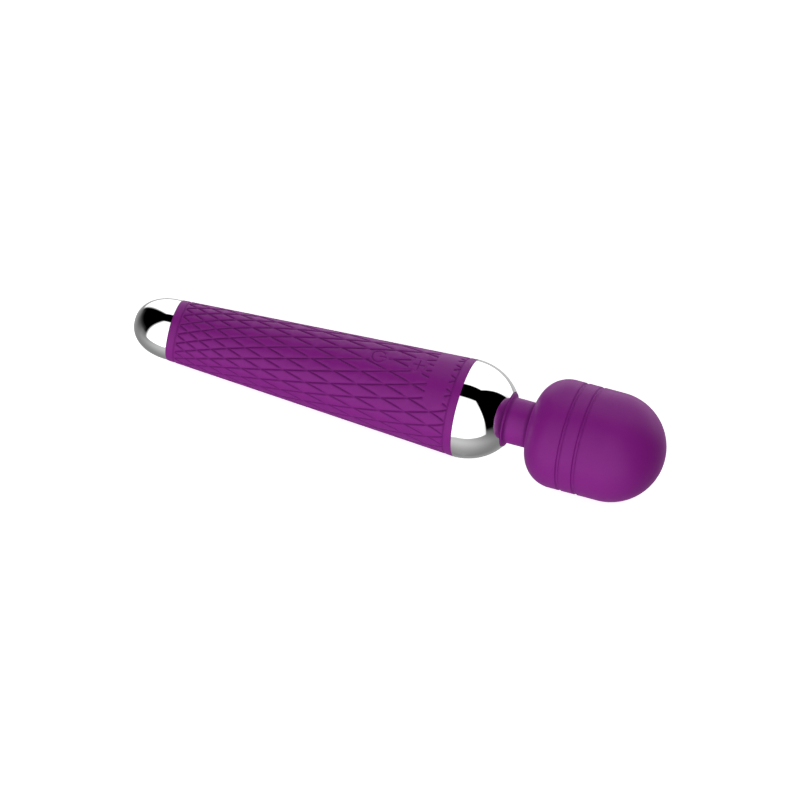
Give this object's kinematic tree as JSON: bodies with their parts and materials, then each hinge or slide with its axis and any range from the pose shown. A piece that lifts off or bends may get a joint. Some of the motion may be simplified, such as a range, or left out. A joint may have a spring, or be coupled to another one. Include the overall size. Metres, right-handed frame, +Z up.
{
  "type": "handheld wand massager",
  "caption": "Cordless wand massager with a tapered silicone grip between chrome caps, a flexible neck and a round silicone head.",
  "frame": {"origin": "middle of the base of the whole wand's box as it lies, at the height of the surface that it lies on", "axes": "+X runs from the rear cap towards the head, +Z is up with the buttons on top, and the wand's own axis rises 3.55 degrees towards the head in the XZ plane because the tapered sleeve lies flat on its lower side"},
  "size_m": [0.2193, 0.0438, 0.0453],
  "materials": {
    "purple_silicone": "satin",
    "chrome": "mirror",
    "housing_plastic": "matte",
    "black_plastic": "satin",
    "ivory_plastic": "satin",
    "board": "solder mask",
    "cell": "shrink sleeve",
    "foam": "foam",
    "steel": "plain",
    "bronze": "sintered",
    "brass": "turned",
    "rotor_metal": "laminations and copper",
    "magnet": "ferrite",
    "black_rubber": "matte",
    "black_wire": "satin",
    "red_wire": "satin"
  },
  "bodies": {
    "handle": {"rear_cap": "chrome", "charge_socket": "black_plastic", "charge_lead": "black_wire", "grip_sleeve": "purple_silicone", "shell_upper": "housing_plastic", "shell_lower": "housing_plastic", "shell_screw_rear": "steel", "shell_screw_front": "steel", "battery": "cell", "battery_pad_rear": "foam", "battery_pad_front": "foam", "battery_wire_negative": "black_wire", "battery_wire_positive": "red_wire", "control_board": "board", "motor_driver": "black_plastic", "motor_connector": "ivory_plastic", "board_screw_rear": "steel", "board_screw_front": "steel", "power_switch": "black_plastic", "plus_switch": "black_plastic", "motor_lead_rear": "black_wire", "front_cap": "chrome", "neck_socket": "black_plastic"},
    "power_key": {"power_button": "purple_silicone"},
    "plus_key": {"plus_button": "purple_silicone"},
    "neck": {"neck_sleeve": "purple_silicone", "neck_spring": "steel", "neck_bush": "ivory_plastic", "motor_lead_neck": "black_wire"},
    "head": {"head_cover": "purple_silicone", "head_frame": "housing_plastic", "head_nose": "housing_plastic", "motor_can": "steel", "motor_end_bell": "black_plastic", "motor_bush": "bronze", "motor_magnet_left": "magnet", "motor_magnet_right": "magnet", "motor_cushion_rear": "black_rubber", "motor_cushion_front": "black_rubber", "motor_lead_front": "black_wire"},
    "rotor": {"motor_rotor": "rotor_metal", "eccentric_weight": "brass"}
  },
  "joints": [
    {"name": "neck_pitch", "type": "hinge", "parent": "handle", "child": "neck", "pos_m": [0.05106, 0, 0.02116], "axis": [0, -1, 0], "range_deg": [-20, 20], "stiffness_Nm_per_rad": 3, "deforming": ["neck_sleeve", "neck_spring", "motor_lead_neck"]},
    {"name": "neck_yaw", "type": "hinge", "parent": "neck", "child": "head", "pos_m": [0.05106, 0, 0.02116], "axis": [-0.0619, 0, 0.9981], "range_deg": [-20, 20], "stiffness_Nm_per_rad": 3, "deforming": ["neck_sleeve", "neck_spring", "motor_lead_neck"]},
    {"name": "motor_spin", "type": "hinge", "parent": "head", "child": "rotor", "pos_m": [0.09069, 0, 0.02362], "axis": [0.9981, 0, 0.0619], "continuous": true},
    {"name": "power_press", "type": "slide", "parent": "handle", "child": "power_key", "axis": [0.0619, 0, -0.9981], "range_m": [0, 0.00045], "stiffness_N_per_m": 4000},
    {"name": "plus_press", "type": "slide", "parent": "handle", "child": "plus_key", "axis": [0.0619, 0, -0.9981], "range_m": [0, 0.00045], "stiffness_N_per_m": 4000}
  ]
}
